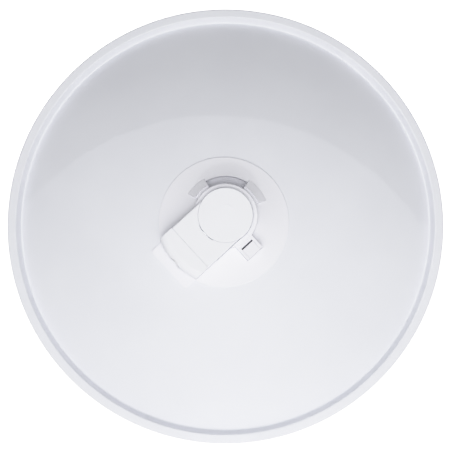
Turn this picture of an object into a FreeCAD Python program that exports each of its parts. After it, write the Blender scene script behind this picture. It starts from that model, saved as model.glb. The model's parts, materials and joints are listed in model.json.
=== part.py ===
"""Outdoor wireless bridge: a round dish with the radio in its hub, as separate parts.

Every part is drawn in a working frame whose +Z runs along the dish axis, out of the convex
rear side, with Z = 0 at the front edge of the rim.  In that frame the radio's port arm points
along +X and is turned to its place by ARM_ANGLE.  The finished parts are moved to the row
frame: origin on the dish axis at the plane that the pole bracket seats on, rear side towards
-Y, radiating side towards +Y, +Z up.
"""
import FreeCAD, Part
import math
import os
from FreeCAD import Vector

AXIS = Vector(0, 0, 1)
CENTRE = Vector(0, 0, 0)

# --- dish (mm) ---
FOCAL_LENGTH = 150.0
RIM_R = 210.0            # outside of the rolled rim
CREST_R = 201.3          # ridge of the rolled rim
GROOVE_R = 196.0         # where the bowl ends and the rim turns back
BOWL_EDGE_Z = 4.0        # height of the bowl's edge above the front of the rim
CREST_RISE = 6.5         # ridge above the bowl's edge
SHOULDER_DROP = 1.2      # fall of the rim's flat band from the ridge to the outside
SHEET = 1.2              # pressed aluminium at the rim
DISH_HOLE_R = 46.0
VERTEX_Z = BOWL_EDGE_Z + GROOVE_R ** 2 / (4 * FOCAL_LENGTH)
RIM_SLOPE = GROOVE_R / (2 * FOCAL_LENGTH)
SKIN_LIFT = SHEET * math.hypot(1, RIM_SLOPE)   # sheet thickness measured along the axis

# --- hub ---
HUB_R = 59.3
HUB_OFFSET = (3.8, 1.9)  # the hub plate's centre, along and across the arm
EDGE_LIFT = 0.7          # hub plate's thin edge above the dish
EDGE_ROUND_R = 0.5
FLARE_R = 64.0           # the plate's curve rises from here to the collar
FLARE_MID_R = 46.0
FLARE_TOP_Z = 74.0
WEB_Z = 65.0             # flat underside of the plate inside the dish's hole
SPIGOT_R = 45.9          # ring under the plate that centres it in the dish
SPIGOT_BORE_R = 43.3
SPIGOT_Z = 59.5
TAB_U = 70.6             # flat tab of the plate under the end of the arm
TAB_HALF_WIDTH = 23.0
TAB_Z = 61.6
SADDLE_R = 60.5          # raised part of the plate that the arm lies on
GASKET = 1.0
FLANGE_R = 57.0
FLANGE = 3.0
HAT_R = 49.5             # boss on the front flange that clears the spigot
HAT_Z = 54.5
HAT_FLOOR = 4.0
HUB_SCREW_CIRCLE_R = 51.0
HUB_SCREW_BOSS_R = 5.0
DOWEL_R = 3.6            # the plate's screw bosses pass through the dish and into the flange
DOWEL_Z = 58.5
HUB_THREAD_END_Z = 64.4
M4_R = 2.0

# --- bayonet collar ---
COLLAR_BORE_R = 24.2
CAP_CLEARANCE = 0.4      # the seat's bore is opened past the end cap, so nothing overhangs the seat
SEAT_RELIEF_Z = 79.0
COLLAR_R = 29.0
COLLAR_TOP_Z = 81.0      # the pole bracket seats on this ring
SEAT_Z = COLLAR_TOP_Z
LUG_R = 39.7
LUG_CREST_R = 32.2
LUG_CREST_Z = 74.8
LUG_END_Z = 69.4
LUG_GROOVE_Z = 74.0
LUGS = ((177.0, 35.0), (271.0, 29.0))   # centre angle and width of each lug, degrees from the arm
POCKET = (194.5, 256.5)  # index pocket between the lugs, degrees from the arm
POCKET_R = 37.2
COLLAR_SCREW_CIRCLE_R = 36.0
COLLAR_SCREW_ANGLES = (54.0, 128.0, 302.0)
COLLAR_SCREW_END_Z = 68.8
M3_R = 1.5
FIT_GAP = 0.1            # between the collar and the plate around it

# --- bracket latch (its middle lies LATCH_U along the arm, its travel is across the arm) ---
LATCH_U = 3.45
LATCH_V = 42.9           # outer face of the latch block
LATCH_HALF_WIDTH = 6.23
LATCH_SIDE_GAP = 0.12
CHEEK = 2.5
SLOT_V = 31.3            # slot between the collar and the latch
SLOT = 1.6
SLOT_FOOT = 0.6          # width of the slot at the foot of the latch, where it hardly moves
LATCH_TOP_Z = 80.0
LATCH_BLOCK_Z = 68.0
LATCH_PIVOT = Vector(LATCH_U, 35.0, 66.0)
LATCH_POCKET_Z = 63.8
TRUNNION_R = 1.25
KNUCKLE_R = 1.5
RUNNING_GAP = 0.05

# --- radio shell and port arm ---
ARM_ANGLE = 222.7        # direction of the arm about the axis, from +X towards row +Z
SHELL_R = 23.8
SHELL_BORE_R = 21.6
SHELL_FRONT_Z = 2.0
CAP_SEAT_Z = 83.0
FACE_Z = 87.0            # rear face of the radio: end cap and arm are level
ARM_HALF_WIDTH = 23.9
ARM_FLOOR_Z = 68.5
ARM_END = 42.6           # where the port cover begins
WALL = 2.0
EDGE_ROUND = 1.2
SEAM = 0.15
COVER_R = 62.4           # rounded outer end of the port cover, about the dish axis
COVER_ROUND = 8.5
CAP_R = 24.5
PLUG_R = 21.3            # stepped neck of the end cap and of the feed tube, inside the shell
GROOVE_DEPTH = 1.4
PRY_R = 25.1             # thumb-nail gap beside the cap
PRY_ANGLE = 42.0
RAIL = 1.9
RAIL_U = (36.0, 51.0)
CABLE_R = 3.0            # bore of the grommet
CABLE_Z = 77.75
GROMMET_U = 55.2         # inner end of the grommet

# --- boards inside ---
BOARD = 1.6
BOARD_BACK = -8.8        # rear face of the main board, measured across the arm
BOARD_FRONT = BOARD_BACK + BOARD
MAIN_BOARD_Z = (16.0, 76.0)
BOARD_SCREW_U = 14.0     # distance each side of the axis
BOARD_SCREW_Z = (22.0, 66.0)
PORT_BOARD_U = (24.6, 40.0)
PORT_BOARD_Z = ARM_FLOOR_Z + WALL
DECK_Z = PORT_BOARD_Z + BOARD    # top of the port board
JACK_V = (-5.5, 10.5)
JACK_HEIGHT = 12.5
FRAME_U = (40.0, 42.2)   # port frame that closes the arm behind the cover
FRAME_SCREW_V = 15.8
FRAME_SCREW_Z = 77.75
BUTTON_R = 1.8
BUTTON_CENTRE = (-9.0, 75.6)
BUTTON_TRAVEL = 0.6
VENT_CENTRE = (-9.5, 81.1)
VENT_R = 2.4
LED_U = (25.6, 27.8, 30.0, 32.2)
LED_Z = 74.0
LED_V = -18.6
PIPE_R = 0.9

# --- feed ---
FEED_R = 19.5
FEED_BORE_R = 17.0
FEED_END_Z = -60.0
CAP_SLEEVE_R = 21.6
RADOME_R = 32.0
RADOME_WALL = 1.8
RADOME_FRONT_Z = -88.0
SUB_REFLECTOR_R = 27.0


# --- shape helpers ---
def cylinder(radius, z0, z1, x=0.0, y=0.0):
    return Part.makeCylinder(radius, z1 - z0, Vector(x, y, z0))


def ring(outer_r, inner_r, z0, z1):
    return cylinder(outer_r, z0, z1).cut(cylinder(inner_r, z0, z1))


def box(x, y, z):
    """Block between pairs of limits along each axis."""
    return Part.makeBox(x[1] - x[0], y[1] - y[0], z[1] - z[0], Vector(x[0], y[0], z[0]))


def rod(radius, start, end):
    """Round bar from one point to another."""
    return Part.makeCylinder(radius, (end - start).Length, start, end - start)


def turned(shape, degrees):
    """Copy of a shape turned about the dish axis."""
    copy = shape.copy()
    copy.rotate(CENTRE, AXIS, degrees)
    return copy


def solid_of_revolution(edges, degrees=360.0):
    """Solid swept about the dish axis by a closed outline of edges in the XZ half plane."""
    outline = Part.Wire(Part.__sortEdges__(edges))
    return Part.Face(outline).revolve(CENTRE, AXIS, degrees)


def profile(points):
    """Closed outline of straight edges from (radius, height) pairs."""
    corners = [Vector(r, 0, z) for r, z in points]
    return [Part.makeLine(a, b) for a, b in zip(corners, corners[1:] + corners[:1])]


def revolved(points, degrees=360.0):
    return solid_of_revolution(profile(points), degrees)


def group(shapes):
    """Identical separate pieces kept in one node."""
    return Part.makeCompound(shapes)


def filleted(solid, radius, wanted):
    """Round the edges of a solid for which wanted(edge) is true."""
    return solid.makeFillet(radius, [edge for edge in solid.Edges if wanted(edge)])


# --- dish curve ---
def bowl_z(radius, lift=0.0):
    """Height of the bowl's rear skin, or of a surface a fixed lift above it."""
    return VERTEX_Z + lift - radius ** 2 / (4 * FOCAL_LENGTH)


def bowl_edge(r0, r1, lift=0.0):
    """Exact arc of the parabola between two radii: a quadratic Bezier curve."""
    middle_r = (r0 + r1) / 2
    middle_z = bowl_z(r0, lift) - r0 / (2 * FOCAL_LENGTH) * (middle_r - r0)
    curve = Part.BezierCurve()
    curve.setPoles([Vector(r0, 0, bowl_z(r0, lift)), Vector(middle_r, 0, middle_z),
                    Vector(r1, 0, bowl_z(r1, lift))])
    return curve.toShape()


def line(a, b):
    return Part.makeLine(Vector(a[0], 0, a[1]), Vector(b[0], 0, b[1]))


def sheet_side(corners, bends, inset):
    """One skin of bent sheet in the XZ plane: straight runs joined by arcs, inset to the right."""
    edges = []
    start = None
    for i, bend in enumerate(bends, start=1):
        before, corner, after = corners[i - 1], corners[i], corners[i + 1]
        way_in = (corner - before).normalize()
        way_out = (after - corner).normalize()
        left_in = Vector(-way_in.z, 0, way_in.x)
        left_out = Vector(-way_out.z, 0, way_out.x)
        side = 1 if left_in.dot(way_out) > 0 else -1
        run = bend * math.tan(way_in.getAngle(way_out) / 2)
        first = corner - way_in * run
        last = corner + way_out * run
        centre = first + left_in * (side * bend)
        skin_r = bend + side * inset
        first_skin = first - left_in * inset
        last_skin = last - left_out * inset
        middle = centre + (corner - centre).normalize() * skin_r
        if start is None:
            start = before - left_in * inset
        edges.append(Part.makeLine(start, first_skin))
        edges.append(Part.Arc(first_skin, middle, last_skin).toShape())
        start = last_skin
    end = corners[-1] - left_out * inset
    edges.append(Part.makeLine(start, end))
    return edges


# --- dish and hub ---
def dish_reflector():
    """Pressed parabolic bowl whose rim is turned back to the rear and hemmed."""
    edge = Vector(GROOVE_R, 0, BOWL_EDGE_Z)
    groove = edge + Vector(1, 0, -RIM_SLOPE) * 1.4
    crest = Vector(CREST_R, 0, BOWL_EDGE_Z + CREST_RISE)
    shoulder = Vector(RIM_R, 0, crest.z - SHOULDER_DROP)
    hem = Vector(RIM_R, 0, 0)
    corners = [edge, groove, crest, shoulder, hem]
    bends = [1.4, 1.4, 2.0]
    outer = sheet_side(corners, bends, 0)
    inner = sheet_side(corners, bends, SHEET)
    inner_start = inner[0].Vertexes[0].Point
    edges = outer + inner
    edges.append(bowl_edge(DISH_HOLE_R, GROOVE_R))
    edges.append(bowl_edge(DISH_HOLE_R, inner_start.x, -SKIN_LIFT))
    edges.append(Part.makeLine(hem, inner[-1].Vertexes[-1].Point))
    edges.append(line((DISH_HOLE_R, bowl_z(DISH_HOLE_R)), (DISH_HOLE_R, bowl_z(DISH_HOLE_R, -SKIN_LIFT))))
    lowest = bowl_z(inner_start.x, -SKIN_LIFT)
    edges.append(line((inner_start.x, lowest), (inner_start.x, inner_start.z)))
    dish = solid_of_revolution([e for e in edges if e.Length > 1e-4])
    for hole in hub_screw_places(cylinder(DOWEL_R + 0.2, 50, 80, HUB_SCREW_CIRCLE_R)):
        dish = dish.cut(hole)
    return dish


def hub_screw_places(shape):
    return [turned(shape, ARM_ANGLE + 45 + 90 * i) for i in range(4)]


def collar_screw_places(shape):
    return [turned(shape, ARM_ANGLE + angle) for angle in COLLAR_SCREW_ANGLES]


def sector(r0, r1, z0, z1, start, end):
    """Block of a ring between two angles."""
    return turned(revolved([(r0, z0), (r1, z0), (r1, z1), (r0, z1)], end - start), start)


def hub_rear_plate():
    """White plate on the convex side that flares up to the collar, off centre towards the arm."""
    bore_r = COLLAR_R + FIT_GAP
    edge_z = bowl_z(FLARE_R, EDGE_LIFT)
    mid_z = edge_z + FLARE_R / (2 * FOCAL_LENGTH) * (FLARE_R - FLARE_MID_R)
    flare = Part.BezierCurve()
    flare.setPoles([Vector(FLARE_R, 0, edge_z), Vector(FLARE_MID_R, 0, mid_z),
                    Vector(bore_r, 0, FLARE_TOP_Z)])
    plate = solid_of_revolution([
        bowl_edge(SPIGOT_R, FLARE_R),
        line((FLARE_R, bowl_z(FLARE_R)), (FLARE_R, edge_z)),
        flare.toShape(),
        line((bore_r, FLARE_TOP_Z), (bore_r, WEB_Z)),
        line((bore_r, WEB_Z), (SPIGOT_BORE_R, WEB_Z)),
        line((SPIGOT_BORE_R, WEB_Z), (SPIGOT_BORE_R, SPIGOT_Z)),
        line((SPIGOT_BORE_R, SPIGOT_Z), (SPIGOT_R, SPIGOT_Z)),
        line((SPIGOT_R, SPIGOT_Z), (SPIGOT_R, bowl_z(SPIGOT_R))),
    ])
    plate = plate.common(cylinder(HUB_R, SPIGOT_Z, FACE_Z, *HUB_OFFSET))
    plate = filleted(plate, EDGE_ROUND_R, on_upper_outline)
    plate = plate.fuse([arm_tab(), arm_saddle()])
    channel = ARM_HALF_WIDTH + 0.2
    plate = plate.cut(box((0, HUB_R + 10), (-channel, channel), (ARM_FLOOR_Z - 0.2, FACE_Z)))
    for angle, width in LUGS:
        turn = width / 2 + 0.2
        plate = plate.cut(sector(bore_r - 1, LUG_R + FIT_GAP, WEB_Z - 1, FACE_Z, angle - turn, angle + turn))
    plate = plate.cut(sector(bore_r - 1, POCKET_R, WEB_Z - 1, FACE_Z, *POCKET))
    half = LATCH_HALF_WIDTH + LATCH_SIDE_GAP + CHEEK + FIT_GAP
    plate = plate.cut(box((LATCH_U - half, LATCH_U + half), (20, LATCH_V + FIT_GAP), (SPIGOT_Z - 1, FACE_Z)))
    plate = turned(plate.removeSplitter(), ARM_ANGLE)
    for dowel in hub_screw_places(cylinder(DOWEL_R, DOWEL_Z, HUB_THREAD_END_Z, HUB_SCREW_CIRCLE_R)):
        plate = plate.fuse(dowel)
    for hole in hub_screw_places(cylinder(M4_R + RUNNING_GAP, DOWEL_Z, HUB_THREAD_END_Z, HUB_SCREW_CIRCLE_R)):
        plate = plate.cut(hole)
    thread = cylinder(M3_R + RUNNING_GAP, 60, COLLAR_SCREW_END_Z + 0.5, COLLAR_SCREW_CIRCLE_R)
    for hole in collar_screw_places(thread):
        plate = plate.cut(hole)
    return plate


def on_upper_outline(edge):
    """True for the long edge round the top of the hub plate."""
    point = edge.valueAt((edge.FirstParameter + edge.LastParameter) / 2)
    on_outline = abs(math.hypot(point.x - HUB_OFFSET[0], point.y - HUB_OFFSET[1]) - HUB_R) < 0.01
    return on_outline and edge.Length > 10 and point.z > bowl_z(math.hypot(point.x, point.y), EDGE_LIFT / 2)


def arm_tab():
    """Flat tab of the plate under the outer end of the arm."""
    inner_r = math.sqrt(4 * FOCAL_LENGTH * (VERTEX_Z - TAB_Z)) + 0.2
    outer_r = TAB_U + 8
    tab = solid_of_revolution([
        bowl_edge(inner_r, outer_r),
        line((outer_r, bowl_z(outer_r)), (outer_r, TAB_Z)),
        line((outer_r, TAB_Z), (inner_r, TAB_Z)),
        line((inner_r, TAB_Z), (inner_r, bowl_z(inner_r))),
    ])
    tab = tab.common(box((0, TAB_U), (-TAB_HALF_WIDTH, TAB_HALF_WIDTH), (50, FACE_Z)))
    return filleted(tab, 3.0, lambda e: e.BoundBox.XMin > TAB_U - 0.1 and e.BoundBox.YLength < 0.1)


def arm_saddle():
    """Raised part of the plate that carries the arm and its cover."""
    top = ARM_FLOOR_Z
    inner_r = COLLAR_R + 7
    saddle = solid_of_revolution([
        bowl_edge(SPIGOT_R, SADDLE_R),
        line((SADDLE_R, bowl_z(SADDLE_R)), (SADDLE_R, top)),
        line((SADDLE_R, top), (inner_r, top)),
        line((inner_r, top), (inner_r, WEB_Z)),
        line((inner_r, WEB_Z), (SPIGOT_R, WEB_Z)),
        line((SPIGOT_R, WEB_Z), (SPIGOT_R, bowl_z(SPIGOT_R))),
    ])
    return saddle.common(box((0, SADDLE_R), (-TAB_HALF_WIDTH, TAB_HALF_WIDTH), (50, FACE_Z)))


def bowl_ring(r0, r1, top_lift, bottom_lift):
    """Ring that follows the bowl's curve between two radii."""
    return solid_of_revolution([
        bowl_edge(r0, r1, top_lift),
        line((r1, bowl_z(r1, top_lift)), (r1, bowl_z(r1, bottom_lift))),
        bowl_edge(r0, r1, bottom_lift),
        line((r0, bowl_z(r0, top_lift)), (r0, bowl_z(r0, bottom_lift))),
    ])


def hub_gasket():
    gasket = bowl_ring(DISH_HOLE_R + 2, FLANGE_R - 1.5, -SKIN_LIFT, -SKIN_LIFT - GASKET)
    for hole in hub_screw_places(cylinder(DOWEL_R + 0.2, 50, 80, HUB_SCREW_CIRCLE_R)):
        gasket = gasket.cut(hole)
    return gasket


def hub_front_flange():
    """Clamping flange on the concave side, with a boss that clears the spigot and the collar."""
    top = -SKIN_LIFT - GASKET
    clear_r = SPIGOT_R + 0.5
    flange = bowl_ring(clear_r, FLANGE_R, top, top - FLANGE)
    hat = ring(HAT_R, COLLAR_BORE_R + 0.2, HAT_Z, bowl_z(HAT_R, top) - 0.5)
    hat = hat.cut(cylinder(clear_r, HAT_Z + HAT_FLOOR, VERTEX_Z))
    flange = flange.fuse(hat)
    boss_top = bowl_z(FLANGE_R, top) - 0.5
    for boss in hub_screw_places(cylinder(HUB_SCREW_BOSS_R, HAT_Z + 2, boss_top, HUB_SCREW_CIRCLE_R)):
        flange = flange.fuse(boss)
    counterbore = cylinder(2 * M4_R + 0.4, HAT_Z - 1, HAT_Z + 2, HUB_SCREW_CIRCLE_R)
    shank_hole = cylinder(M4_R + 0.3, 50, 80, HUB_SCREW_CIRCLE_R)
    dowel_hole = cylinder(DOWEL_R + 0.2, DOWEL_Z - 0.1, 80, HUB_SCREW_CIRCLE_R)
    for hole in hub_screw_places(counterbore.fuse([shank_hole, dowel_hole])):
        flange = flange.cut(hole)
    return flange.removeSplitter()


def pan_screw(shank_r, length, socket_r):
    """Pan-head screw with its head's seat at Z = 0 and its shank upwards."""
    head = cylinder(2 * shank_r, -1.5 * shank_r, 0)
    head = filleted(head, 0.6 * shank_r, lambda e: e.Vertexes[0].Point.z < -shank_r and len(e.Vertexes) == 1)
    socket = box((-socket_r, socket_r), (-0.25 * shank_r, 0.25 * shank_r), (-2 * shank_r, -0.8 * shank_r))
    cross = turned(socket, 90)
    return head.cut(socket).cut(cross).fuse(cylinder(shank_r, 0, length)).removeSplitter()


def hub_screws():
    screw = pan_screw(M4_R, HUB_THREAD_END_Z - HAT_Z - 2.2, 2.6)
    screw.translate(Vector(HUB_SCREW_CIRCLE_R, 0, HAT_Z + 2))
    return group(hub_screw_places(screw))


# --- bayonet collar and latch ---
def bayonet_collar():
    """Low ring around the radio on a base under the plate, with two ramped lugs and the latch's housing."""
    chamfer = 0.6
    base_r = SPIGOT_BORE_R - FIT_GAP
    seat_bore_r = CAP_R + CAP_CLEARANCE
    collar = revolved([(COLLAR_BORE_R, SPIGOT_Z), (base_r, SPIGOT_Z), (base_r, WEB_Z), (COLLAR_R, WEB_Z),
                       (COLLAR_R, COLLAR_TOP_Z - chamfer), (COLLAR_R - chamfer, COLLAR_TOP_Z),
                       (seat_bore_r, COLLAR_TOP_Z), (seat_bore_r, SEAT_RELIEF_Z),
                       (COLLAR_BORE_R, SEAT_RELIEF_Z)])
    collar = collar.cut(sector(COLLAR_R, SPIGOT_BORE_R, SPIGOT_Z, WEB_Z + 1, *POCKET))
    root_r = COLLAR_R - 1.0
    lug_outline = [(root_r, SPIGOT_Z + 1), (LUG_R, SPIGOT_Z + 1), (LUG_R, LUG_END_Z),
                   (LUG_CREST_R, LUG_CREST_Z), (LUG_CREST_R - 0.5, LUG_GROOVE_Z), (root_r, LUG_GROOVE_Z)]
    for angle, width in LUGS:
        collar = collar.fuse(turned(revolved(lug_outline, width), angle - width / 2))
    collar = latch_housing(collar)
    gap_half_width = ARM_HALF_WIDTH + 0.35
    arm_gap = box((0, LATCH_V), (-gap_half_width, gap_half_width), (ARM_FLOOR_Z, FACE_Z))
    collar = turned(collar.cut(arm_gap).removeSplitter(), ARM_ANGLE)
    clearance = cylinder(M3_R + 0.2, SPIGOT_Z, WEB_Z, COLLAR_SCREW_CIRCLE_R)
    countersink = Part.makeCone(2 * M3_R + 0.1, M3_R + 0.1, 1.6, Vector(COLLAR_SCREW_CIRCLE_R, 0, SPIGOT_Z))
    for hole in collar_screw_places(clearance.fuse(countersink)):
        collar = collar.cut(hole)
    return collar


def latch_housing(collar):
    """Collar with the block that guards the latch between two cheeks."""
    half = LATCH_HALF_WIDTH + LATCH_SIDE_GAP
    outer = half + CHEEK
    block = box((LATCH_U - outer, LATCH_U + outer), (COLLAR_BORE_R, LATCH_V), (SPIGOT_Z, LATCH_TOP_Z))
    block = filleted(block, 1.0, lambda e: e.BoundBox.YMin > LATCH_V - 0.1 and e.BoundBox.ZLength > 1)
    block = block.cut(cylinder(COLLAR_R - 1, SPIGOT_Z, FACE_Z))
    foot_v = SLOT_V + SLOT - SLOT_FOOT
    outline = [(SLOT_V, FACE_Z), (SLOT_V, LATCH_TOP_Z), (foot_v, LATCH_BLOCK_Z), (foot_v, LATCH_POCKET_Z),
               (LATCH_V + 1, LATCH_POCKET_Z), (LATCH_V + 1, FACE_Z)]
    corners = [Vector(LATCH_U - half, v, z) for v, z in outline]
    pocket = Part.Face(Part.makePolygon(corners + corners[:1])).extrude(Vector(2 * half, 0, 0))
    return collar.fuse(block).cut([pocket, latch_axle(TRUNNION_R + RUNNING_GAP, outer + 1)])


def latch_axle(radius, reach):
    """Bar along the latch's axis, reaching the same distance each side of its middle."""
    return rod(radius, LATCH_PIVOT - Vector(reach, 0, 0), LATCH_PIVOT + Vector(reach, 0, 0))


def bracket_latch():
    """Finger that swings in towards the collar on two trunnions to release the bracket."""
    inner_v = SLOT_V + SLOT
    width = (LATCH_U - LATCH_HALF_WIDTH, LATCH_U + LATCH_HALF_WIDTH)
    finger = box(width, (inner_v, LATCH_V), (LATCH_BLOCK_Z, LATCH_TOP_Z))
    finger = filleted(finger, 0.5, lambda e: e.BoundBox.YMin > LATCH_V - 0.1 and e.BoundBox.XLength > 1)
    stem = box(width, (inner_v, inner_v + 3.0), (LATCH_PIVOT.z, LATCH_BLOCK_Z + 1))
    knuckle = latch_axle(KNUCKLE_R, LATCH_HALF_WIDTH)
    trunnions = latch_axle(TRUNNION_R, LATCH_HALF_WIDTH + LATCH_SIDE_GAP + CHEEK)
    return turned(finger.fuse([stem, knuckle, trunnions]).removeSplitter(), ARM_ANGLE)


def collar_screws():
    """Countersunk screws from under the collar's base into the plate."""
    head = Part.makeCone(2 * M3_R, M3_R, 1.5, Vector(COLLAR_SCREW_CIRCLE_R, 0, SPIGOT_Z))
    shank = cylinder(M3_R, SPIGOT_Z + 1.5, COLLAR_SCREW_END_Z, COLLAR_SCREW_CIRCLE_R)
    slot = box((COLLAR_SCREW_CIRCLE_R - 2, COLLAR_SCREW_CIRCLE_R + 2), (-0.3, 0.3),
               (SPIGOT_Z, SPIGOT_Z + 0.7))
    return group(collar_screw_places(head.fuse(shank).cut(slot).removeSplitter()))


# --- radio shell, port arm and cover ---
def radio_shell():
    """Tube that carries the electronics, with the hollow port arm on its side."""
    tube = cylinder(SHELL_R, SHELL_FRONT_Z, CAP_SEAT_Z)
    arm = box((0, ARM_END), (-ARM_HALF_WIDTH, ARM_HALF_WIDTH), (ARM_FLOOR_Z, FACE_Z))
    arm = filleted(arm, EDGE_ROUND, lambda e: abs(e.BoundBox.ZMin - FACE_Z) < 0.01 and e.BoundBox.XLength > 1)
    inner = ARM_HALF_WIDTH - WALL
    into_tube = box((0, ARM_END), (-inner, inner), (ARM_FLOOR_Z + WALL, CAP_SEAT_Z - 8))
    under_face = box((SHELL_R + 0.7, ARM_END), (-inner, inner), (ARM_FLOOR_Z + WALL, FACE_Z - WALL))
    cap_recess = cylinder(CAP_R + FIT_GAP, CAP_SEAT_Z, FACE_Z)
    pry_gap = sector(CAP_R - 1, PRY_R, CAP_SEAT_Z, FACE_Z, -PRY_ANGLE / 2, PRY_ANGLE / 2)
    bore = cylinder(SHELL_BORE_R, SHELL_FRONT_Z, CAP_SEAT_Z)
    shell = tube.fuse(arm).cut([bore, into_tube, under_face, cap_recess, pry_gap])
    for side in (-1, 1):
        rail = box(RAIL_U, sorted((side * (inner - RAIL), side * inner)), (DECK_Z + 0.4, FACE_Z - 4))
        v, z = side * FRAME_SCREW_V, FRAME_SCREW_Z
        corner = box((FRAME_U[0] - 6, FRAME_U[0]), sorted((v - side * 3.2, side * inner)), (z - 3.4, z + 3.4))
        shell = shell.fuse([rail, corner])
        shell = shell.cut(rod(1.3, Vector(FRAME_U[0] - 5.8, v, z), Vector(FRAME_U[0], v, z)))
        for z in BOARD_SCREW_Z:
            u = side * BOARD_SCREW_U
            boss = rod(2.4, Vector(u, -20, z), Vector(u, BOARD_BACK, z))
            shell = shell.fuse(boss.common(cylinder(SHELL_R - 0.5, z - 5, z + 5)))
            shell = shell.cut(rod(1.3, Vector(u, -14, z), Vector(u, BOARD_BACK, z)))
    for u in LED_U:
        window = rod(PIPE_R + RUNNING_GAP, Vector(u, -ARM_HALF_WIDTH - 1, LED_Z), Vector(u, 1 - inner, LED_Z))
        shell = shell.cut(window)
    return turned(shell.removeSplitter(), ARM_ANGLE)


def end_cap():
    """Round cap on the rear end, with a plain raised ring and dot in its middle."""
    disc = filleted(cylinder(CAP_R, CAP_SEAT_Z, FACE_Z), 0.6,
                    lambda e: abs(e.BoundBox.ZMin - FACE_Z) < 0.01 and len(e.Vertexes) == 1)
    neck_r = PLUG_R - GROOVE_DEPTH
    z = CAP_SEAT_Z
    plug = revolved([(0, z - 6), (PLUG_R, z - 6), (PLUG_R, z - 4), (neck_r, z - 4), (neck_r, z - 2),
                     (PLUG_R, z - 2), (PLUG_R, z), (0, z)])
    hollow = cylinder(17.0, z - 6, z + 1)
    relief = ring(9.6, 8.4, FACE_Z, FACE_Z + 0.25).fuse(cylinder(1.6, FACE_Z, FACE_Z + 0.25))
    return disc.fuse(plug).cut(hollow).fuse(relief).removeSplitter()


def seal_ring(z):
    """Round rubber ring in the groove of a plug, just clear of the shell's bore."""
    cord_r = 0.8
    return Part.makeTorus(PLUG_R - GROOVE_DEPTH + cord_r, cord_r, Vector(0, 0, z))


def cap_o_ring():
    return seal_ring(CAP_SEAT_Z - 3)


def port_frame():
    """Bulkhead that closes the arm, with openings for the socket, the button and the vent."""
    inner = ARM_HALF_WIDTH - WALL - RAIL - FIT_GAP
    frame = box(FRAME_U, (-inner, inner), (PORT_BOARD_Z + FIT_GAP, FACE_Z - WALL - FIT_GAP))
    socket_v = (JACK_V[0] - 0.2, JACK_V[1] + 0.2)
    frame = frame.cut(box((30, 45), socket_v, (DECK_Z - 0.2, DECK_Z + JACK_HEIGHT + 0.1)))
    holes = [(BUTTON_R + RUNNING_GAP, *BUTTON_CENTRE), (VENT_R + RUNNING_GAP, *VENT_CENTRE)]
    holes += [(1.4, side * FRAME_SCREW_V, FRAME_SCREW_Z) for side in (-1, 1)]
    for radius, v, z in holes:
        frame = frame.cut(rod(radius, Vector(30, v, z), Vector(45, v, z)))
    return turned(frame, ARM_ANGLE)


def frame_screws():
    screws = []
    for side in (-1, 1):
        screw = pan_screw(1.25, 5.5, 1.5)
        screw.rotate(CENTRE, Vector(0, 1, 0), -90)
        screw.translate(Vector(FRAME_U[1], side * FRAME_SCREW_V, FRAME_SCREW_Z))
        screws.append(turned(screw, ARM_ANGLE))
    return group(screws)


def port_cover():
    """Hollow end of the arm that slides off outwards to reach the socket."""
    outside = cover_block(ARM_HALF_WIDTH, COVER_R, ARM_FLOOR_Z, FACE_Z, COVER_ROUND)
    cavity = cover_block(ARM_HALF_WIDTH - WALL, COVER_R - WALL, ARM_FLOOR_Z + WALL, FACE_Z - WALL,
                         COVER_ROUND - WALL)
    boss = along_cable(8.0, 1.6, 5.0).common(outside)
    recess = along_cable(6.9, 4.5, 9)
    hole = along_cable(5.15, -3, 9)
    return turned(outside.cut(cavity).fuse(boss).cut([recess, hole]).removeSplitter(), ARM_ANGLE)


def cover_block(half_width, end_r, z0, z1, rounding):
    """Block beyond the seam whose outer end is an arc about the dish axis, rounded over at the top."""
    block = box((ARM_END + SEAM, end_r + 1), (-half_width, half_width), (z0, z1))
    block = block.common(cylinder(end_r, z0, z1))
    return filleted(block, rounding,
                    lambda e: abs(e.BoundBox.ZMin - z1) < 0.01 and e.Curve.TypeId == "Part::GeomCircle")


def along_cable(radius, start, end):
    """Bar along the cable's axis; start and end are measured from the grommet's inner end."""
    return rod(radius, Vector(GROMMET_U + start, 0, CABLE_Z), Vector(GROMMET_U + end, 0, CABLE_Z))


def cable_grommet():
    """Rubber grommet buttoned through the cover's end wall."""
    grommet = revolved([(CABLE_R, 0), (6.0, 0), (6.5, 0.8), (6.5, 1.6), (5.1, 1.6), (5.1, 4.5), (6.6, 4.5),
                        (6.6, 5.5), (5.6, 6.3), (CABLE_R, 6.3)])
    grommet.rotate(CENTRE, Vector(0, 1, 0), 90)
    grommet.translate(Vector(GROMMET_U, 0, CABLE_Z))
    return turned(grommet, ARM_ANGLE)


# --- parts on the port board ---
def port_board():
    board = box(PORT_BOARD_U, (-20, 20), (PORT_BOARD_Z, DECK_Z))
    return turned(board, ARM_ANGLE)


def rj45_jack():
    """Shielded socket, open towards the cover."""
    end = PORT_BOARD_U[1]
    middle = (JACK_V[0] + JACK_V[1]) / 2
    body = box(PORT_BOARD_U, JACK_V, (DECK_Z, DECK_Z + JACK_HEIGHT))
    mouth = box((end - 12.4, end), (middle - 5.9, middle + 5.9), (DECK_Z + 2.2, DECK_Z + 9.7))
    key = box((end - 12.4, end), (middle - 3.0, middle + 3.0), (DECK_Z + 9.7, DECK_Z + 11.3))
    return turned(body.cut([mouth, key]), ARM_ANGLE)


def jack_contacts():
    """Eight sprung contact wires on the floor of the socket's mouth."""
    end = PORT_BOARD_U[1]
    pins = []
    for i in range(8):
        v = (JACK_V[0] + JACK_V[1]) / 2 + (i - 3.5) * 1.02
        pin = rod(0.23, Vector(end - 2.5, v, DECK_Z + 2.7), Vector(end - 11, v, DECK_Z + 6.0))
        pins.append(turned(pin, ARM_ANGLE))
    return group(pins)


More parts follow.
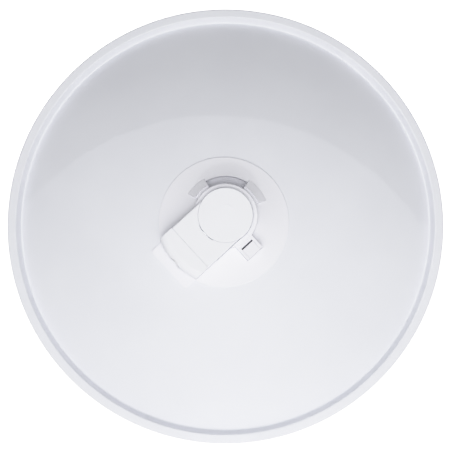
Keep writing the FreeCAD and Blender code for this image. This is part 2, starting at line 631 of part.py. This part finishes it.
def reset_switch():
    v, z = BUTTON_CENTRE
    face = FRAME_U[0] - 1.4 - BUTTON_TRAVEL
    body = box((face - 5, face), (v - 2.8, v + 2.8), (DECK_Z, z + 2.8))
    return turned(body, ARM_ANGLE)


def reset_button():
    """Round push button that travels through the port frame onto the switch."""
    v, z = BUTTON_CENTRE
    collar_end = FRAME_U[0] - 0.2
    stem = rod(BUTTON_R, Vector(collar_end - 1.2, v, z), Vector(FRAME_U[1] + 1.0, v, z))
    collar = rod(BUTTON_R + 0.7, Vector(collar_end - 1.2, v, z), Vector(collar_end, v, z))
    return turned(stem.fuse(collar).removeSplitter(), ARM_ANGLE)


def status_leds():
    lamps = []
    for u in LED_U:
        lamp = box((u - 0.8, u + 0.8), (LED_V - 0.8, LED_V + 0.8), (DECK_Z, DECK_Z + 0.7))
        lamps.append(turned(lamp, ARM_ANGLE))
    return group(lamps)


def light_pipes():
    """Clear strip with four round windows through the arm's side wall."""
    wall = ARM_HALF_WIDTH - WALL
    strip = box((LED_U[0] - 0.9, LED_U[-1] + 0.9), (-wall, -wall + 1.2), (LED_Z - PIPE_R, LED_Z + PIPE_R))
    for u in LED_U:
        pipe_start = Vector(u, -ARM_HALF_WIDTH - 0.1, LED_Z)
        strip = strip.fuse(rod(PIPE_R, pipe_start, Vector(u, LED_V + 0.6, LED_Z)))
    return turned(strip.removeSplitter(), ARM_ANGLE)


def breather_vent():
    """Push-in vent with a membrane, through the port frame where the cover keeps the rain off."""
    v, z = VENT_CENTRE
    body = rod(VENT_R, Vector(FRAME_U[0], v, z), Vector(FRAME_U[1], v, z))
    head = rod(VENT_R + 0.8, Vector(FRAME_U[1], v, z), Vector(FRAME_U[1] + 1.0, v, z))
    return turned(body.fuse(head).removeSplitter(), ARM_ANGLE)


# --- parts on the main board ---
def main_board():
    board = box((-18, 18), (BOARD_BACK, BOARD_FRONT), MAIN_BOARD_Z)
    for u, z in board_screw_points():
        board = board.cut(rod(1.4, Vector(u, BOARD_BACK - 1, z), Vector(u, BOARD_FRONT + 1, z)))
    return turned(board, ARM_ANGLE)


def board_screw_points():
    return [(side * BOARD_SCREW_U, z) for side in (-1, 1) for z in BOARD_SCREW_Z]


def rf_shields():
    """Two pressed cans over the radio circuits."""
    cans = []
    for z0, z1 in ((26.0, 44.0), (46.0, 60.0)):
        can = box((-11, 9), (BOARD_FRONT, BOARD_FRONT + 3.4), (z0, z1))
        hollow = box((-10.7, 8.7), (BOARD_FRONT, BOARD_FRONT + 3.1), (z0 + 0.3, z1 - 0.3))
        cans.append(turned(can.cut(hollow), ARM_ANGLE))
    return group(cans)


def ethernet_transformer():
    return turned(box((-9, 7), (BOARD_FRONT, BOARD_FRONT + 4.2), (62, 73)), ARM_ANGLE)


def surge_capacitors():
    cans = []
    for z in (33.0, 43.0):
        can = rod(3.2, Vector(13.4, BOARD_FRONT, z), Vector(13.4, BOARD_FRONT + 7.5, z))
        cans.append(turned(can, ARM_ANGLE))
    return group(cans)


def thermal_pad():
    return turned(box((-9, 9), (BOARD_BACK - 1.5, BOARD_BACK), (26, 58)), ARM_ANGLE)


def heat_spreader():
    """Finned aluminium plate behind the hottest chips."""
    back = BOARD_BACK - 1.5
    span = (24, 60)
    plate = box((-10, 10), (back - 1.5, back), span)
    for i in range(4):
        u = -9 + 6 * i
        plate = plate.fuse(box((u - 0.6, u + 0.6), (back - 5.0, back - 1.5), span))
    return turned(plate.removeSplitter(), ARM_ANGLE)


def board_screws():
    screws = []
    for u, z in board_screw_points():
        screw = pan_screw(1.25, 6.0, 1.5)
        screw.rotate(CENTRE, Vector(1, 0, 0), 90)
        screw.translate(Vector(u, BOARD_FRONT, z))
        screws.append(turned(screw, ARM_ANGLE))
    return group(screws)


def board_link():
    """Flat jumper that stands on the port board and joins it to the main board."""
    link = box((14, 29), (BOARD_FRONT, BOARD_FRONT + 0.5), (DECK_Z, DECK_Z + 2.6))
    return turned(link, ARM_ANGLE)


# --- feed ---
def retaining_nut():
    """Ribbed nut on the shell that clamps the radio in the hub."""
    nut = ring(31.5, SHELL_R + RUNNING_GAP, HAT_Z - 7.5, HAT_Z)
    grip = cylinder(2.0, HAT_Z - 7.5, HAT_Z - 2, 32.5)
    for i in range(12):
        nut = nut.cut(turned(grip, 30 * i))
    return nut


def feed_tube():
    """Tube that carries the feed forward from the radio shell."""
    z = SHELL_FRONT_Z
    neck_r = PLUG_R - GROOVE_DEPTH
    return revolved([(FEED_BORE_R, FEED_END_Z), (FEED_R, FEED_END_Z), (FEED_R, z - 8), (SHELL_R, z - 4),
                     (SHELL_R, z), (PLUG_R, z), (PLUG_R, z + 5), (neck_r, z + 5), (neck_r, z + 7),
                     (PLUG_R, z + 7), (PLUG_R, z + 11), (FEED_BORE_R, z + 11)])


def feed_o_ring():
    return seal_ring(SHELL_FRONT_Z + 6)


def coax_leads():
    """Two semi-rigid leads from the main board to the feed board."""
    leads = []
    for u in (-6.0, 6.0):
        start = Vector(u, BOARD_FRONT + 1.3, MAIN_BOARD_Z[0] + 2)
        lead = rod(1.1, Vector(u, BOARD_FRONT + 1.3, FEED_END_Z + 4.6), start)
        plug = rod(1.3, start, start + Vector(0, 0, 4))
        leads.append(turned(lead.fuse(plug).removeSplitter(), ARM_ANGLE))
    return group(leads)


def feed_board():
    """Round board across the end of the feed tube."""
    board = cylinder(FEED_BORE_R - 0.1, FEED_END_Z + 3, FEED_END_Z + 4.6)
    return turned(board, ARM_ANGLE)


def feed_dipoles():
    """Two crossed dipoles standing in front of the feed board, one in front of the other."""
    dipoles = []
    for turn, shift in ((45.0, 0.0), (135.0, 4.0)):
        z = FEED_END_Z - 4 - shift
        arms = rod(0.9, Vector(-12, 0, z), Vector(12, 0, z))
        post = cylinder(0.9, z, FEED_END_Z + 3, 3.5)
        dipoles.append(turned(arms.fuse(post).removeSplitter(), ARM_ANGLE + turn))
    return group(dipoles)


def sub_reflector():
    """Shallow metal disc with a cone in the middle that throws the signal back at the bowl."""
    front = RADOME_FRONT_Z + RADOME_WALL + 3.0
    return revolved([(0, front), (SUB_REFLECTOR_R, front), (SUB_REFLECTOR_R, front + 3.2),
                     (SUB_REFLECTOR_R - 1, front + 3.2), (SUB_REFLECTOR_R - 1, front + 1.0),
                     (8, front + 1.0), (0, front + 5.0)])


def feed_cap():
    """Plastic radome over the feed's front end."""
    back_z = -50.0
    shoulder_z = -64.0
    corner = 6.0
    outer = [(CAP_SLEEVE_R, back_z), (CAP_SLEEVE_R, -56), (RADOME_R, shoulder_z),
             (RADOME_R, RADOME_FRONT_Z + corner), (RADOME_R - corner, RADOME_FRONT_Z), (0, RADOME_FRONT_Z)]
    inside_r = RADOME_R - RADOME_WALL
    bore = FEED_R + RUNNING_GAP
    inner = [(0, RADOME_FRONT_Z + RADOME_WALL), (inside_r - corner + 1, RADOME_FRONT_Z + RADOME_WALL),
             (inside_r, RADOME_FRONT_Z + corner + 1), (inside_r, shoulder_z - 1), (bore, -58), (bore, back_z)]
    cap = revolved(outer + inner)
    return filleted(cap, 2.5, lambda e: abs(e.BoundBox.XMax - RADOME_R) < 0.01 and e.BoundBox.ZLength < 0.01)


DISH_AND_HUB = (dish_reflector, hub_rear_plate, hub_gasket, hub_front_flange, hub_screws)
COLLAR = (bayonet_collar, bracket_latch, collar_screws)
RADIO = (radio_shell, end_cap, cap_o_ring, port_frame, frame_screws, port_cover, cable_grommet, breather_vent)
PORT_BOARD = (port_board, rj45_jack, jack_contacts, reset_switch, reset_button, status_leds, light_pipes)
MAIN_BOARD = (main_board, rf_shields, ethernet_transformer, surge_capacitors, thermal_pad, heat_spreader,
              board_screws, board_link)
FEED = (retaining_nut, feed_tube, feed_o_ring, coax_leads, feed_board, feed_dipoles, sub_reflector, feed_cap)


def in_row_frame(shape):
    """Seat plane to the origin, then the dish axis from +Z to -Y."""
    shape.translate(Vector(0, 0, -SEAT_Z))
    shape.rotate(CENTRE, Vector(1, 0, 0), 90)
    return shape


os.makedirs("parts", exist_ok=True)
for build in DISH_AND_HUB + COLLAR + RADIO + PORT_BOARD + MAIN_BOARD + FEED:
    in_row_frame(build()).exportStep(f"parts/{build.__name__}.step")
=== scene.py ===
"""Studio scene of the outdoor wireless bridge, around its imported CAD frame."""
import json
import math

import bmesh
import bpy
from mathutils import Matrix, Vector


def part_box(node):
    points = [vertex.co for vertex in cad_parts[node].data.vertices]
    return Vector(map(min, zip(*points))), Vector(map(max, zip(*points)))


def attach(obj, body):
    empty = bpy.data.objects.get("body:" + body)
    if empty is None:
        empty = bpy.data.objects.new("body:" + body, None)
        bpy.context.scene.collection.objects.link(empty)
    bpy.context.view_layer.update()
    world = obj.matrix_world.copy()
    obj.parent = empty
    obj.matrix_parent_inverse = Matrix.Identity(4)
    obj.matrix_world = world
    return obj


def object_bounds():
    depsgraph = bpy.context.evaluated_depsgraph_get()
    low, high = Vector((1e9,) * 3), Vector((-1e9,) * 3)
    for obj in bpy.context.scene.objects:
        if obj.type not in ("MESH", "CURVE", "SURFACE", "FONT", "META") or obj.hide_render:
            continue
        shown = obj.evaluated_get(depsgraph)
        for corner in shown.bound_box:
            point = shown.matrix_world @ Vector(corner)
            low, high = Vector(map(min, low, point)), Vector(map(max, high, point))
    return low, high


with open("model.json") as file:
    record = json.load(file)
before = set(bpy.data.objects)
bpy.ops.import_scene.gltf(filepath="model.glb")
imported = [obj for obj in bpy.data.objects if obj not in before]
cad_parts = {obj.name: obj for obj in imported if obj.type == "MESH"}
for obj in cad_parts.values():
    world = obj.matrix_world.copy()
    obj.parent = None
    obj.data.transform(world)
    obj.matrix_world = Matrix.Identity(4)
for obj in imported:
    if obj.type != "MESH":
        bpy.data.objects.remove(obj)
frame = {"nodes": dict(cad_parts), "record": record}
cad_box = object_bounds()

MM = 0.001
ARM_ANGLE = math.radians(222.7)                 # direction of the port arm, from +X towards +Z
ALONG_ARM = Vector((math.cos(ARM_ANGLE), 0, math.sin(ARM_ANGLE)))
ACROSS_ARM = Vector((-math.sin(ARM_ANGLE), 0, math.cos(ARM_ANGLE)))
FORWARD = Vector((0, 1, 0))                     # towards the radiating side

TRACK_TURNS = (0.0, math.pi / 2)                # the board's tracks run along and across the arm
BOARD_FACE = -7.2 * MM                          # main board's component face, across the arm
CHIP_HALF_SIDE = 2.2 * MM
CHIP_HALF_THICKNESS = 0.5 * MM
CHIP_PLACES = ((-14.5, 27), (13.5, 22), (0, 54.5))   # mm along the arm and down from the board's rear edge
PASSIVE_HALF_SIZE = (0.5 * MM, 0.3 * MM, 0.8 * MM)
PASSIVE_COLUMNS = (-16.6, -12.4)                # mm along the arm
PASSIVE_ROWS = 9
PASSIVE_START = 14.0                            # mm down from the board's rear edge
PASSIVE_PITCH = 3.1
CHIP_KEEP_OUT = (23.0, 31.0)                    # no passives here, where a chip spans both columns


# --- node helpers ---
def new_material(name):
    """Empty Principled material; returns it with its tree and shader node."""
    material = bpy.data.materials.new(name)
    material.use_nodes = True
    tree = material.node_tree
    return material, tree, tree.nodes["Principled BSDF"]


def object_coords(tree, stretch=(1, 1, 1), turn=(0, 0, 0)):
    """Object space, so a pattern keeps its real size, with a stretch and a turn."""
    coords = tree.nodes.new("ShaderNodeTexCoord")
    mapping = tree.nodes.new("ShaderNodeMapping")
    mapping.inputs["Scale"].default_value = stretch
    mapping.inputs["Rotation"].default_value = turn
    tree.links.new(coords.outputs["Object"], mapping.inputs["Vector"])
    return mapping.outputs["Vector"]


def noise(tree, scale, detail=3.0, roughness=0.5, stretch=(1, 1, 1)):
    node = tree.nodes.new("ShaderNodeTexNoise")
    node.inputs["Scale"].default_value = scale
    node.inputs["Detail"].default_value = detail
    node.inputs["Roughness"].default_value = roughness
    tree.links.new(object_coords(tree, stretch), node.inputs["Vector"])
    return node.outputs["Fac"]


def ramp(tree, factor, low, high, start=0.35, end=0.65):
    """Blend between two colours over a span of a factor."""
    node = tree.nodes.new("ShaderNodeValToRGB")
    node.color_ramp.elements[0].position = start
    node.color_ramp.elements[1].position = end
    node.color_ramp.elements[0].color = (*low, 1)
    node.color_ramp.elements[1].color = (*high, 1)
    tree.links.new(factor, node.inputs["Fac"])
    return node.outputs["Color"]


def spread(tree, factor, low, high, start=0.0, end=1.0):
    """Map a span of a factor onto a range of values."""
    node = tree.nodes.new("ShaderNodeMapRange")
    node.inputs["From Min"].default_value = start
    node.inputs["From Max"].default_value = end
    node.inputs["To Min"].default_value = low
    node.inputs["To Max"].default_value = high
    tree.links.new(factor, node.inputs["Value"])
    return node.outputs["Result"]


def maths(tree, operation, a, b):
    node = tree.nodes.new("ShaderNodeMath")
    node.operation = operation
    for socket, value in zip(node.inputs, (a, b)):
        if isinstance(value, (int, float)):
            socket.default_value = value
        else:
            tree.links.new(value, socket)
    return node.outputs["Value"]


def mix_colour(tree, factor, below, above):
    """Colour socket or value below, covered by a colour where the factor is 1."""
    node = tree.nodes.new("ShaderNodeMix")
    node.data_type = "RGBA"
    tree.links.new(factor, node.inputs["Factor"])
    tree.links.new(below, node.inputs["A"])
    node.inputs["B"].default_value = (*above, 1)
    return node.outputs["Result"]


def bump(tree, shader, height, strength, distance):
    node = tree.nodes.new("ShaderNodeBump")
    node.inputs["Strength"].default_value = strength
    node.inputs["Distance"].default_value = distance
    tree.links.new(height, node.inputs["Height"])
    tree.links.new(node.outputs["Normal"], shader.inputs["Normal"])


def specks(tree, scale, size, share):
    """1 in small round spots, about one per cell of the given scale, in a share of the cells."""
    cells = tree.nodes.new("ShaderNodeTexVoronoi")
    cells.inputs["Scale"].default_value = scale
    tree.links.new(object_coords(tree), cells.inputs["Vector"])
    near = maths(tree, "LESS_THAN", cells.outputs["Distance"], size * scale)
    picked = tree.nodes.new("ShaderNodeSeparateColor")
    tree.links.new(cells.outputs["Color"], picked.inputs["Color"])
    return maths(tree, "MULTIPLY", near, maths(tree, "LESS_THAN", picked.outputs["Red"], share))


# --- materials ---
def base_finish(name, low, high, roughness, grain, depth, metallic=0.0, stretch=(1, 1, 1), specular=0.5):
    """Finish with a soft tone drift and a fine grain that moves both roughness and relief."""
    material, tree, shader = new_material(name)
    drift = noise(tree, 14.0, 2.0)
    colour = ramp(tree, drift, low, high)
    tree.links.new(colour, shader.inputs["Base Color"])
    fine = noise(tree, grain, 4.0, 0.6, stretch)
    tree.links.new(spread(tree, fine, *roughness), shader.inputs["Roughness"])
    bump(tree, shader, fine, 0.35, depth)
    shader.inputs["Metallic"].default_value = metallic
    shader.inputs["Specular IOR Level"].default_value = specular
    return material, tree, shader, colour


def powder_coat():
    """White powder coat: orange-peel relief and a few specks of dust baked in."""
    material, tree, shader, colour = base_finish("white_paint", (0.790, 0.800, 0.850), (0.810, 0.820, 0.870),
                                                 (0.52, 0.66), 700, 0.00005, specular=0.22)
    dust = specks(tree, 22.0, 0.35 * MM, 0.25)
    tree.links.new(mix_colour(tree, dust, colour, (0.42, 0.40, 0.38)), shader.inputs["Base Color"])
    return material


def moulded(name, low, high):
    """White outdoor plastic from a lightly etched mould, with a faint sheen over it."""
    material, _, shader, _ = base_finish(name, low, high, (0.48, 0.62), 1700, 0.00003, specular=0.25)
    shader.inputs["Coat Weight"].default_value = 0.05
    shader.inputs["Coat Roughness"].default_value = 0.35
    return material


def solder_mask():
    """Green board: lighter tracks run two ways under the mask, with tinned dots among them."""
    material, tree, shader, colour = base_finish("board_green", (0.012, 0.085, 0.040), (0.020, 0.120, 0.060),
                                                 (0.28, 0.42), 700, 0.00002)
    tracks = []
    for turn in TRACK_TURNS:
        wave = tree.nodes.new("ShaderNodeTexWave")
        wave.inputs["Scale"].default_value = 160.0
        tree.links.new(object_coords(tree, turn=(0, ARM_ANGLE + turn, 0)), wave.inputs["Vector"])
        lines = maths(tree, "GREATER_THAN", wave.outputs["Fac"], 0.72)
        patch = maths(tree, "GREATER_THAN", noise(tree, 90.0 + 20.0 * turn, 0.0), 0.54)
        tracks.append(maths(tree, "MULTIPLY", lines, patch))
    track = maths(tree, "MAXIMUM", *tracks)
    tracked = mix_colour(tree, track, colour, (0.035, 0.200, 0.095))
    pads = specks(tree, 260.0, 0.45 * MM, 0.35)
    tree.links.new(mix_colour(tree, pads, tracked, (0.70, 0.70, 0.66)), shader.inputs["Base Color"])
    tree.links.new(pads, shader.inputs["Metallic"])
    return material


def clear_acrylic():
    """Clear plastic of the light pipes, and of the lamps behind them."""
    material, _, shader, _ = base_finish("lamp", (0.80, 0.84, 0.86), (0.88, 0.90, 0.92),
                                         (0.06, 0.14), 500, 0.00001)
    shader.inputs["Transmission Weight"].default_value = 0.5
    shader.inputs["IOR"].default_value = 1.49
    return material


def metal(name, low, high, roughness, grain=900, depth=0.00001, stretch=(1, 1, 1)):
    return base_finish(name, low, high, roughness, grain, depth, 1.0, stretch)[0]


def dull(name, low, high, roughness, grain=1300, depth=0.00004):
    return base_finish(name, low, high, roughness, grain, depth)[0]


MATERIALS = {
    "white_paint": powder_coat(),
    "hub_plastic": moulded("hub_plastic", (0.850, 0.850, 0.900), (0.870, 0.870, 0.920)),
    "radio_plastic": moulded("radio_plastic", (0.865, 0.872, 0.915), (0.885, 0.892, 0.935)),
    "seal_rubber": dull("seal_rubber", (0.020, 0.020, 0.020), (0.035, 0.035, 0.035), (0.6, 0.8)),
    "grommet_silicone": dull("grommet_silicone", (0.66, 0.66, 0.68), (0.72, 0.72, 0.74), (0.55, 0.70)),
    "steel": metal("steel", (0.55, 0.56, 0.58), (0.66, 0.67, 0.69), (0.22, 0.40), stretch=(1, 8, 1)),
    "board_green": solder_mask(),
    "black_plastic": dull("black_plastic", (0.020, 0.020, 0.022), (0.040, 0.040, 0.042), (0.45, 0.60)),
    "button_grey": dull("button_grey", (0.40, 0.41, 0.43), (0.46, 0.47, 0.49), (0.40, 0.55)),
    "gold": metal("gold", (0.80, 0.55, 0.20), (0.92, 0.68, 0.30), (0.18, 0.30)),
    "copper": metal("copper", (0.62, 0.32, 0.18), (0.75, 0.42, 0.26), (0.22, 0.38)),
    "raw_aluminium": metal("raw_aluminium", (0.70, 0.71, 0.72), (0.80, 0.81, 0.82), (0.28, 0.42),
                           700, 0.00002),
    "thermal_grey": dull("thermal_grey", (0.40, 0.43, 0.48), (0.48, 0.51, 0.55), (0.70, 0.85)),
    "lamp": clear_acrylic(),
}


def dress_cad_nodes():
    """Give every CAD node the material of its slot in the record."""
    for part in frame["record"]["subparts"]:
        piece = frame["nodes"][part["node"]]
        piece.data.materials.clear()
        piece.data.materials.append(MATERIALS[part["material_slot"]])


dress_cad_nodes()


# --- small visual pieces on the boards ---
def block(mesh, centre, half_u, half_v, half_y, bevel):
    """Add a block with softened edges, square to the port arm."""
    axes = Matrix((ALONG_ARM, ACROSS_ARM, FORWARD)).transposed().to_4x4()
    scale = Matrix.Diagonal((2 * half_u, 2 * half_v, 2 * half_y, 1))
    made = bmesh.ops.create_cube(mesh, size=1.0, matrix=Matrix.Translation(centre) @ axes @ scale)
    edges = list({edge for vert in made["verts"] for edge in vert.link_edges})
    bmesh.ops.bevel(mesh, geom=edges, offset=bevel, segments=2, profile=0.5, affect="EDGES")


def finished(name, mesh, slot):
    """Object from a mesh, dressed in a slot's material and riding on the dish unit."""
    bmesh.ops.recalc_face_normals(mesh, faces=mesh.faces[:])
    data = bpy.data.meshes.new(name)
    mesh.to_mesh(data)
    mesh.free()
    data.materials.append(MATERIALS[slot])
    piece = bpy.data.objects.new(name, data)
    bpy.context.scene.collection.objects.link(piece)
    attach(piece, "dish_unit")


def board_point(u, y, v):
    """Point at a distance along and across the arm and forward of the origin."""
    return ALONG_ARM * u + ACROSS_ARM * v + FORWARD * y


def small_components():
    """Chips and chip capacitors on the main board's face, clear of the cans."""
    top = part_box("main_board")[0].y
    chips = bmesh.new()
    for u, down in CHIP_PLACES:
        centre = board_point(u * MM, top + down * MM, BOARD_FACE + CHIP_HALF_THICKNESS)
        block(chips, centre, CHIP_HALF_SIDE, CHIP_HALF_THICKNESS, CHIP_HALF_SIDE, 0.15 * MM)
    finished("board_chips", chips, "black_plastic")
    passives = bmesh.new()
    for row in range(PASSIVE_ROWS):
        down = PASSIVE_START + row * PASSIVE_PITCH
        if CHIP_KEEP_OUT[0] < down < CHIP_KEEP_OUT[1]:
            continue
        for u in PASSIVE_COLUMNS:
            centre = board_point(u * MM, top + down * MM, BOARD_FACE + PASSIVE_HALF_SIZE[1])
            block(passives, centre, *PASSIVE_HALF_SIZE, 0.08 * MM)
    finished("board_passives", passives, "raw_aluminium")


small_components()


# --- softened edges ---
def soften(width, *names):
    """Round the sharp edges of CAD nodes slightly, as a mould or a press leaves them."""
    for name in names:
        bevel = frame["nodes"][name].modifiers.new("soft_edges", "BEVEL")
        bevel.width = width
        bevel.segments = 3
        bevel.limit_method = "ANGLE"
        bevel.angle_limit = math.radians(32)
        bevel.use_clamp_overlap = True
        bevel.harden_normals = True


soften(0.25 * MM, "hub_rear_plate", "bayonet_collar", "retaining_nut")
soften(0.12 * MM, "bracket_latch")


# --- stage ---
RIM_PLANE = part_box("dish_reflector")[1].y
CAMERA_DISTANCE = 1.0
CAMERA_DROP = math.radians(4.9)
WHITE = 4.0                                     # strength of the backdrop as the camera sees it
AMBIENT = 0.26                                  # strength of the backdrop as a light
FLOOR_GLOW = 0.10                               # strength of the floor as a light
LIGHT_DISTANCE = 2.4
SHOULDER = ((0.35, 0.35), (0.68, 0.68), (0.82, 0.79), (0.95, 0.865), (1.10, 0.92), (1.5, 0.99))
AIM = Vector((0.0005, RIM_PLANE, -0.0025))      # the point at the middle of the picture


def camera():
    """Camera on the dish's rear side, a little below its axis."""
    data = bpy.data.cameras.new("camera")
    data.sensor_width = 36.0
    data.lens = 82.4
    eye = bpy.data.objects.new("camera", data)
    eye.location = (0, RIM_PLANE - CAMERA_DISTANCE, -math.tan(CAMERA_DROP) * CAMERA_DISTANCE)
    eye.rotation_mode = "QUATERNION"
    eye.rotation_quaternion = (AIM - eye.location).to_track_quat("-Z", "Y")
    bpy.context.scene.collection.objects.link(eye)
    bpy.context.scene.camera = eye


def area_light(name, direction, size, power):
    """Soft box that faces the object from a direction."""
    data = bpy.data.lights.new(name, "AREA")
    data.shape = "DISK"
    data.size = size
    data.energy = power
    lamp = bpy.data.objects.new(name, data)
    lamp.location = Vector(direction).normalized() * LIGHT_DISTANCE
    lamp.rotation_mode = "QUATERNION"
    lamp.rotation_quaternion = (-lamp.location).to_track_quat("-Z", "Y")
    lamp.visible_camera = False
    bpy.context.scene.collection.objects.link(lamp)


def white_world():
    """White to the camera, softer as a light."""
    world = bpy.data.worlds.new("studio")
    bpy.context.scene.world = world
    world.use_nodes = True
    tree = world.node_tree
    background = tree.nodes["Background"]
    background.inputs["Color"].default_value = (1, 1, 1, 1)
    path = tree.nodes.new("ShaderNodeLightPath")
    strength = spread(tree, path.outputs["Is Camera Ray"], AMBIENT, WHITE)
    tree.links.new(strength, background.inputs["Strength"])


def floor():
    """Plain white floor under the rim; it casts no shadow."""
    low = cad_box[0].z
    size = 8.0
    mesh = bpy.data.meshes.new("floor")
    corners = [(-size, -size, low), (size, -size, low), (size, size, low), (-size, size, low)]
    mesh.from_pydata(corners, [], [(0, 1, 2, 3)])
    plane = bpy.data.objects.new("floor", mesh)
    bpy.context.scene.collection.objects.link(plane)
    plane.visible_shadow = False
    material, tree, shader = new_material("floor")
    shader.inputs["Base Color"].default_value = (0.9, 0.9, 0.9, 1)
    shader.inputs["Roughness"].default_value = 0.9
    shader.inputs["Emission Color"].default_value = (1, 1, 1, 1)
    path = tree.nodes.new("ShaderNodeLightPath")
    glow = spread(tree, path.outputs["Is Camera Ray"], FLOOR_GLOW, WHITE)
    tree.links.new(glow, shader.inputs["Emission Strength"])
    mesh.materials.append(material)


def soft_highlights():
    """Film-like shoulder, so lit white surfaces keep their shading below pure white."""
    view = bpy.context.scene.view_settings
    view.view_transform = "Standard"
    view.use_curve_mapping = True
    mapping = view.curve_mapping
    mapping.clip_max_x = 5.0
    mapping.clip_max_y = 5.0
    curve = mapping.curves[3]
    curve.points[1].location = (WHITE, 2.0)
    for x, y in SHOULDER:
        curve.points.new(x, y)
    mapping.update()


camera()
white_world()
area_light("key", (-0.03, -1.0, -0.62), 2.0, 30)
area_light("front", (0.0, -1.0, -0.14), 1.2, 20)
area_light("concave_side", (0.5, 1.0, 0.6), 1.2, 26)
floor()
soft_highlights()
